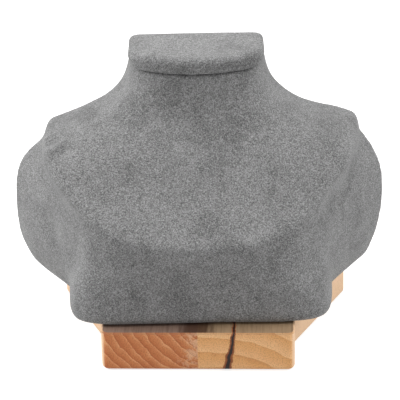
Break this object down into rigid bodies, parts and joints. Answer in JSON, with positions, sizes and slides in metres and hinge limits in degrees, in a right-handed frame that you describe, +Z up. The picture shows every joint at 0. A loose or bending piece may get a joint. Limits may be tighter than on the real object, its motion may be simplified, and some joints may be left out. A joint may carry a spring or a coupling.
{
  "type": "necklace display stand",
  "caption": "Bust-shaped necklace stand: grey cloth-covered neck and chest with a flat capped neck, on a flared solid wood base.",
  "frame": {"origin": "middle of the whole stand's bounding box, on the surface that it stands on", "axes": "+Z up from the table; +X across the stand, along its widest size; +Y from the front of the chest to the flat back"},
  "size_m": [0.203, 0.094, 0.1565],
  "materials": {
    "wood_left": "sanded, clear matt",
    "wood_right": "sanded, clear matt",
    "cloth": "short-napped grey microsuede",
    "cap_cloth": "short-napped grey microsuede",
    "panel_cloth": "short-napped grey microsuede"
  },
  "bodies": {
    "root": {"base_stave_left": "wood_left", "base_stave_right": "wood_right", "bust": "cloth", "neck_cap": "cap_cloth", "back_panel": "panel_cloth"}
  },
  "joints": []
}
